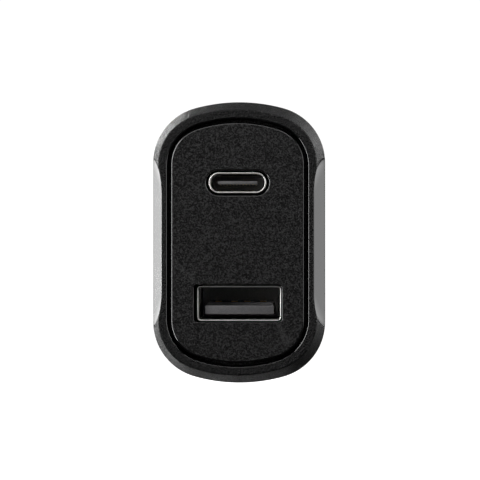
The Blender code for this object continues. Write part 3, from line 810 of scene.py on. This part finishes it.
def make_usb_c():
    """The upper receptacle: round-ended sleeve, tongue, and a row of pads on each face of the tongue."""
    half_width, half_height, centre = shell_outline("usb_c_shell")
    outline_of = slot_family(half_width - 0.04, half_height - 0.02, half_height - 0.03, centre)
    sleeve("usb_c_sleeve", "usb_c_shell", outline_of, 0.22, 0.08)
    mouth = low_high("usb_c_tongue")[0].y
    base_y = FRONT + 6.4
    tongue_half, tongue_below, tongue_above = 3.05, 0.24, 0.28
    tongue = (
        (centre[0] - tongue_half, mouth, centre[1] - tongue_below),
        (centre[0] + tongue_half, base_y + 0.5, centre[1] + tongue_above),
    )
    core = slot_family(half_width - 0.4, half_height - 0.4, half_height - 0.41, centre)
    port_core("usb_c_core", "usb_c_tongue", core, base_y, tongue, 0.1)
    pad_count, pad_pitch, pad_size, pad_set_back = 12, 0.5, (0.25, 3.0, 0.03), 2.9
    for name, rise in (("usb_c_pads_upper", tongue_above), ("usb_c_pads_lower", -tongue_below)):
        pads = bmesh.new()
        for place in range(pad_count):
            x = centre[0] + (place - (pad_count - 1) / 2) * pad_pitch
            cube = bmesh.ops.create_cube(pads, size=1.0)["verts"]
            bmesh.ops.scale(pads, vec=pad_size, verts=cube)
            bmesh.ops.translate(pads, vec=(x, mouth + pad_set_back, centre[1] + rise), verts=cube)
        softened(pads, pads.edges[:], 0.012, 1)
        finished(name, pads, CONTACT_GOLD, CASING)


def make_strip(number, start):
    """One contact strip of the lower receptacle: it dips into the moulding, and bows up where it touches."""
    node = f"usb_a_contact_{number}"
    low, high = low_high(node)
    low.y = start
    low.z -= 0.12
    thick = 0.14
    bm = box(low, (high.x, high.y, low.z + thick), 0.03, 2)
    long_edges = [e for e in bm.edges if span(e, Y) > 3.0]
    bmesh.ops.subdivide_edges(bm, edges=long_edges, cuts=28, use_grid_fill=True)
    dip, dip_length, dip_start = 0.3, 0.9, low.y + 0.1
    bow, bow_length, bow_start = 0.04, 2.2, low.y + 0.9
    for vert in bm.verts:
        tucked = min(max(1.0 - (vert.co.y - dip_start) / dip_length, 0.0), 1.0)
        along = min(max((vert.co.y - bow_start) / bow_length, 0.0), 1.0)
        vert.co.z += bow * math.sin(math.pi * along) ** 2 - dip * tucked * tucked * (3 - 2 * tucked)
    finished(f"usb_a_strip_{number}", bm, CONTACT_GOLD, CASING, [node])


def make_usb_a():
    """The lower receptacle: square sleeve, a stepped tongue block, and four contact strips on its step."""
    half_width, half_height, centre = shell_outline("usb_a_shell")
    outline_of = slot_family(half_width, half_height, 0.55, centre)
    sleeve("usb_a_sleeve", "usb_a_shell", outline_of, 0.18, 0.075, 0.24)
    mouth = low_high("usb_a_tongue")[0].y
    top = low_high("usb_a_contact_1")[0].z - 0.05
    base_y = FRONT + 10.2
    step_y, step_z = mouth + 3.2, top - 0.42
    tongue_half, upper_half, tongue_foot = 5.3, 5.1, top - 1.75
    tongue = (
        (centre[0] - tongue_half, mouth, tongue_foot),
        (centre[0] + tongue_half, base_y + 0.5, step_z),
    )
    upper = box(
        (centre[0] - upper_half, step_y, step_z - 0.3),
        (centre[0] + upper_half, base_y + 0.5, top),
        0.1,
    )
    core = slot_family(half_width - 0.4, half_height - 0.4, 0.2, centre)
    port_core("usb_a_core", "usb_a_tongue", core, base_y, tongue, 0.14, upper)
    for number in range(1, 5):
        make_strip(number, step_y + 2.2)


# ------------------------------------------------------------------ rear cover and folding plug

# PIVOT is the (y, z) of the axis that the plug turns on. FOLDED_TIP is where a blade's tip ends, in z.
BLADE_X = 6.35
PIVOT = (-3.9, 7.0)
BARREL_RADIUS = 3.4
BARREL_HALF = 9.0
TRUNNION_RADIUS = 1.6
BLADE_TIP = low_high("blade_right")[1].y - 0.002
FOLDED_TIP = PIVOT[1] - BLADE_TIP + PIVOT[0]
PLATE_FRONT = -2.3
PAST_BACK = 1.0
POST_X = 9.0
POST_Z = 13.2


def cover_body(front):
    """The cover before it is cut: plate, spigot, the blocks round the wells, and two screw posts."""
    z = PIVOT[1]
    path = rounded(
        [
            (BODY_HALF - 1.4, PLATE_FRONT, 0),
            (BODY_HALF, PLATE_FRONT, 0.15),
            (BODY_HALF, 0.0, 0.8),
            (BODY_HALF - 1.4, 0.0, 0),
        ],
        6,
    )
    plate = bmesh.new()
    capped(plate, *skin(plate, arch, path, COVER_RING, False))
    top = PLATE_FRONT + 0.3
    spigot_outer, spigot_inner, spigot_front = 11.35, 10.35, -4.5
    spigot = bmesh.new()
    ring = [
        (spigot_outer, spigot_front),
        (spigot_outer, top),
        (spigot_inner, top),
        (spigot_inner, spigot_front),
        (spigot_outer, spigot_front),
    ]
    skin(spigot, arch, ring, SPIGOT_RING)
    barrel_block = box((-9.9, front, z - 5.0), (9.9, top, z + 5.6))
    saddle_block = box((-10.8, front, z - 2.8), (10.8, top, z + 2.8))
    blade_block = box((-8.3, front, FOLDED_TIP - 1.6), (8.3, top, z - 4.0))
    recess_block = box((-6.6, -5.4, -17.3), (6.6, top, FOLDED_TIP))
    blocks = [barrel_block, saddle_block, blade_block, recess_block]
    posts = [rod(1.6, (x, front, POST_Z), (x, top, POST_Z), 32) for x in (-POST_X, POST_X)]
    return combined(plate, "UNION", spigot, *blocks, *posts)


def finger_recess():
    """The cutter for the recess under the folded tips, with round corners and a soft floor."""
    floor_y = -4.6
    recess = box((-5.6, floor_y, -16.4), (5.6, PAST_BACK, -8.4))
    softened(recess, [e for e in recess.edges if span(e, Y) > 1.0], 1.1, 6)
    floor_edges = [e for e in recess.edges if max(v.co.y for v in e.verts) < floor_y + 0.1]
    return softened(recess, floor_edges, 0.6, 5)


def make_cover():
    """The rear cover: blade slots, the barrel's window, a finger recess, and the wells behind them."""
    front = low_high("rear_cover")[0].y
    past_front = front - 1.0
    y, z = PIVOT
    window_half, window_reach = 9.2, 3.9
    window = box(
        (-window_half, past_front, z - window_reach), (window_half, PAST_BACK, z + window_reach)
    )
    cuts = [window, finger_recess()]
    slot_half, spring_half, saddle_radius, screw_radius = 1.15, 1.4, 1.75, 0.8
    for side in (-1, 1):
        x = side * BLADE_X
        near, far = sorted((side * 8.8, side * 11.9))
        post = side * POST_X
        cuts += [
            box((x - slot_half, -7.5, FOLDED_TIP - 0.6), (x + slot_half, PAST_BACK, z)),
            box((x - spring_half, past_front, z), (x + spring_half, -1.8, z + 5.0)),
            rod(saddle_radius, (near, y, z), (far, y, z), 32),
            box((near, past_front, z - saddle_radius), (far, y, z + saddle_radius)),
            rod(screw_radius, (post, past_front, POST_Z), (post, -3.5, POST_Z), 24),
        ]
    bm = combined(cover_body(front), "DIFFERENCE", *cuts)
    mouths = [
        e
        for e in sharp_edges(bm, 60)
        if min(v.co.y for v in e.verts) > -0.001 and max(abs(v.co.x) for v in e.verts) < 9.5
    ]
    softened(bm, mouths, 0.22, 4)
    finished("cover", bm, COVER_BLACK, CASING, ["rear_cover"])


def make_barrel():
    """The barrel that carries the blades: grooved for each shank, and flatted where its spring rests."""
    y, z = PIVOT
    ends = low_high("blade_carrier")
    bm = rod(BARREL_RADIUS, (-BARREL_HALF, y, z), (BARREL_HALF, y, z), 96, 0.25)
    trunnions = rod(TRUNNION_RADIUS, (ends[0].x, y, z), (ends[1].x, y, z), 48, 0.2)
    bm = combined(bm, "UNION", trunnions)
    far = BARREL_RADIUS + 1.0
    flat_half, flat_at = 2.8, 3.1
    cuts = [
        box((-flat_half, y - far, z - far), (flat_half, y - flat_at, z + far)),
        box((-flat_half, y - far, z + flat_at), (flat_half, y + far, z + far)),
    ]
    groove_half, shank_half = 0.85, 1.6
    for x in (-BLADE_X, BLADE_X):
        low = (x - groove_half, y - far, z - shank_half)
        cuts.append(box(low, (x + groove_half, y + far, z + shank_half)))
    bm = combined(bm, "DIFFERENCE", *cuts)
    softened(bm, sharp_edges(bm, 40), 0.08, 2)
    finished("barrel", bm, BARREL_BLACK, PLUG, ["blade_carrier"])


def make_blade(name, node):
    """One flat blade: stamped, with its tip tapered, its edges eased and a hole near the tip."""
    low, high = low_high(node)
    high.y = BLADE_TIP
    y, z = PIVOT
    bm = box((low.x, y + 3.5, low.z), high)
    at_tip = [e for e in bm.edges if min(v.co.y for v in e.verts) > high.y - 0.01]
    taper = 1.3
    softened(bm, [e for e in at_tip if span(e, X) > 0.1], taper, 1)
    nose = [
        e
        for e in bm.edges
        if min(v.co.y for v in e.verts) > high.y - taper - 0.01 and span(e, X) < 1e-4
    ]
    softened(bm, nose, 0.35, 2)
    bm = combined(bm, "UNION", box((low.x, low.y, z - 1.5), (high.x, y + 4.0, z + 1.5)))
    hole_y, hole_radius = 11.8, 1.6
    hole = rod(hole_radius, (low.x - 1, hole_y, z), (high.x + 1, hole_y, z), 48)
    bm = combined(bm, "DIFFERENCE", hole)
    softened(bm, sharp_edges(bm, 40), 0.09, 2)
    finished(name, bm, BLADE_NICKEL, PLUG, [node])


def finish_inside():
    """Gives each part that stays as it was packed the finish of its slot."""
    for part in frame["record"]["subparts"]:
        node = frame["nodes"][part["node"]]
        finish = FINISHES.get(part["material_slot"])
        if finish:
            node.data.materials.clear()
            node.data.materials.append(finish)


make_casing()
make_panel()
make_usb_c()
make_usb_a()
make_cover()
make_barrel()
make_blade("plug_blade_left", "blade_left")
make_blade("plug_blade_right", "blade_right")
finish_inside()

# ------------------------------------------------------------------ stage, light and camera


def aim(obj, place, target=(0.0, FRONT * MM, 0.0)):
    """Puts a lamp or camera at a place, looking at a target, both in metres."""
    obj.location = place
    obj.rotation_euler = (Vector(target) - Vector(place)).to_track_quat("-Z", "Y").to_euler()
    bpy.context.scene.collection.objects.link(obj)


def softbox(name, azimuth, elevation, away, width, height, radiance):
    """A rectangular lamp seen from the ports' side: azimuth 0 is straight in front, 90 is to the right."""
    lamp = bpy.data.lights.new(name, "AREA")
    lamp.shape = "RECTANGLE"
    lamp.size, lamp.size_y = width, height
    lamp.energy = radiance * math.pi * width * height
    turn, rise = math.radians(azimuth), math.radians(elevation)
    direction = Vector(
        (math.sin(turn) * math.cos(rise), -math.cos(turn) * math.cos(rise), math.sin(rise))
    )
    obj = bpy.data.objects.new(name, lamp)
    aim(obj, direction * away + Vector((0.0, FRONT * MM, 0.0)))
    obj.visible_camera = False


# Each softbox's azimuth and elevation, distance, width, height, and how bright its face is.
SOFTBOXES = {
    "left front strip": (-60, 4, 0.7, 0.19, 0.95, 18.5),
    "right front strip": (60, 15, 0.7, 0.12, 0.5, 4.5),
    "left side box": (-105, 8, 0.6, 0.3, 0.5, 4.0),
    "left rear box": (-156, -1, 0.7, 0.26, 0.22, 0.9),
    "upper left rear box": (-163, 13.5, 0.7, 0.16, 0.11, 16.0),
    "left collar fill": (-141, 2, 0.7, 0.12, 0.3, 12.0),
    "lower left rear box": (-160, -16, 0.7, 0.2, 0.12, 2.4),
    "right side box": (80, 5, 0.7, 0.25, 0.5, 2.6),
    "right rear box": (152, -1, 0.7, 0.3, 0.2, 0.44),
    "upper right rear box": (156, 12, 0.7, 0.16, 0.13, 5.2),
    "front top box": (-6, 46, 0.1, 0.13, 0.013, 8.4),
    "low rear box": (-172, -21, 0.7, 0.36, 0.14, 1.4),
    "back top box": (176, 72, 0.6, 0.4, 0.2, 0.6),
    "back left fill": (-124, 22, 0.7, 0.3, 0.26, 5.0),
    "right wall fill": (108, 32, 0.7, 0.5, 0.34, 14.0),
}


def make_studio():
    """A dim room that shows as plain white behind the charger."""
    world = bpy.data.worlds.new("studio")
    bpy.context.scene.world = world
    world.use_nodes = True
    tree = world.node_tree
    seen = add_node(tree, "ShaderNodeLightPath").outputs["Is Camera Ray"]
    shade = mixed(tree, seen, (0.045, 0.045, 0.046, 1), (1.05, 1.05, 1.05, 1))
    linked(tree, tree.nodes["Background"].inputs["Color"], shade)


def make_floor():
    """A pale floor whose glow is dimmed near the charger as a painted shadow pool, fading to white away from
    it, and is clear from below.
    """
    shape = bmesh.new()
    bmesh.ops.create_grid(shape, x_segments=2, y_segments=2, size=3.0)
    bmesh.ops.translate(shape, vec=(0, 0, -0.07), verts=shape.verts)
    mesh = bpy.data.meshes.new("floor")
    shape.to_mesh(mesh)
    shape.free()
    floor = bpy.data.objects.new("floor", mesh)
    bpy.context.scene.collection.objects.link(floor)
    paper, tree, shader = new_material("pale floor")
    away = add_node(tree, "ShaderNodeVectorMath", {0: object_place(tree)}, operation="LENGTH")
    # Painted shadow: within reach of the charger the floor glows at half strength, standing in for the
    # shadow it casts; farther out it glows plain white.
    fade = ramp(tree, away.outputs["Value"], 0.1, 0.27)
    glow_with_painted_shadow = mixed(tree, fade, (0.5, 0.5, 0.5, 1), (1, 1, 1, 1))
    under = add_node(tree, "ShaderNodeNewGeometry").outputs["Backfacing"]
    shader.inputs["Base Color"].default_value = (0.8, 0.8, 0.8, 1)
    shader.inputs["Roughness"].default_value = 0.9
    shader.inputs["Emission Strength"].default_value = 1.0
    linked(tree, shader.inputs["Emission Color"], glow_with_painted_shadow)
    linked(tree, shader.inputs["Alpha"], math_node(tree, "SUBTRACT", 1.0, under))
    mesh.materials.append(paper)
    floor.visible_glossy = False
    floor.visible_diffuse = False


def make_camera():
    """A long lens, turned a little to the right of straight on."""
    data = bpy.data.cameras.new("camera")
    data.sensor_width = 36.0
    data.lens = 170.6
    data.clip_start = 0.01
    camera = bpy.data.objects.new("camera", data)
    turn = math.radians(2.1)
    distance = 0.35
    target = Vector((0.0, FRONT * MM, 0.0)) + Vector((0.0004, 0.0, 0.000385))
    aim(camera, target + Vector((math.sin(turn), -math.cos(turn), 0.0)) * distance, target)
    bpy.context.scene.camera = camera


for lamp_name, lamp_settings in SOFTBOXES.items():
    softbox(lamp_name, *lamp_settings)
make_studio()
make_floor()
make_camera()
bpy.context.scene.view_settings.view_transform = "Standard"
